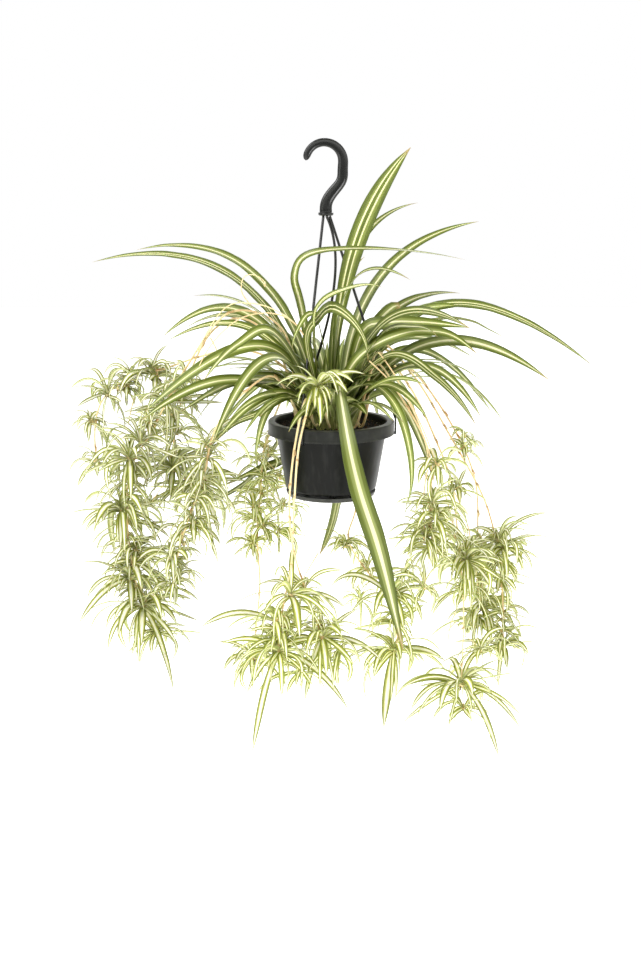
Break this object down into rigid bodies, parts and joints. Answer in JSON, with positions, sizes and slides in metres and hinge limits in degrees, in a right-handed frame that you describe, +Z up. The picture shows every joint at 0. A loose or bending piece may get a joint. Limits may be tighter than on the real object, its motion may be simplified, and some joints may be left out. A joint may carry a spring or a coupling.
{
  "type": "potted spider plant",
  "caption": "Spider plant in a black hanging nursery pot with clip-on saucer and hook hanger, long arching leaves and trailing runners with young plants.",
  "frame": {"origin": "where the inside of the hook bears on the wire, rail or nail that it hangs from, above the pot's axis", "axes": "+Z up, +X to the right and +Y to the back as the plant is seen from its front"},
  "size_m": [0.7006, 0.41, 0.8511],
  "materials": {
    "black_plastic": "satin",
    "compost": "matte",
    "mother_leaf": "satin",
    "young_leaf": "satin",
    "runner_stem": "satin"
  },
  "bodies": {
    "root": {"pot": "black_plastic", "saucer": "black_plastic", "soil": "compost", "hook": "black_plastic", "strand_left": "black_plastic", "strand_back": "black_plastic", "strand_right": "black_plastic", "runner_a": "runner_stem", "runner_b": "runner_stem", "runner_c": "runner_stem", "runner_d": "runner_stem", "runner_e": "runner_stem", "runner_f": "runner_stem", "runner_g": "runner_stem", "runner_h": "runner_stem", "runner_i": "runner_stem", "runner_j": "runner_stem", "runner_k": "runner_stem", "runner_l": "runner_stem", "crown": "mother_leaf", "young_1": "young_leaf", "young_2": "young_leaf", "young_3": "young_leaf", "young_4": "young_leaf", "young_5": "young_leaf", "young_6": "young_leaf", "young_7": "young_leaf", "young_8": "young_leaf", "young_9": "young_leaf", "young_10": "young_leaf", "young_11": "young_leaf", "young_12": "young_leaf", "young_13": "young_leaf", "young_14": "young_leaf", "young_15": "young_leaf", "young_16": "young_leaf", "young_17": "young_leaf", "young_18": "young_leaf", "young_19": "young_leaf", "young_20": "young_leaf", "young_21": "young_leaf", "young_22": "young_leaf", "young_23": "young_leaf", "young_24": "young_leaf", "young_25": "young_leaf", "young_26": "young_leaf", "young_27": "young_leaf", "young_28": "young_leaf", "young_29": "young_leaf", "young_30": "young_leaf", "young_31": "young_leaf", "young_32": "young_leaf", "young_33": "young_leaf", "young_34": "young_leaf", "young_35": "young_leaf", "young_36": "young_leaf", "young_37": "young_leaf", "young_38": "young_leaf", "young_39": "young_leaf"}
  },
  "joints": []
}
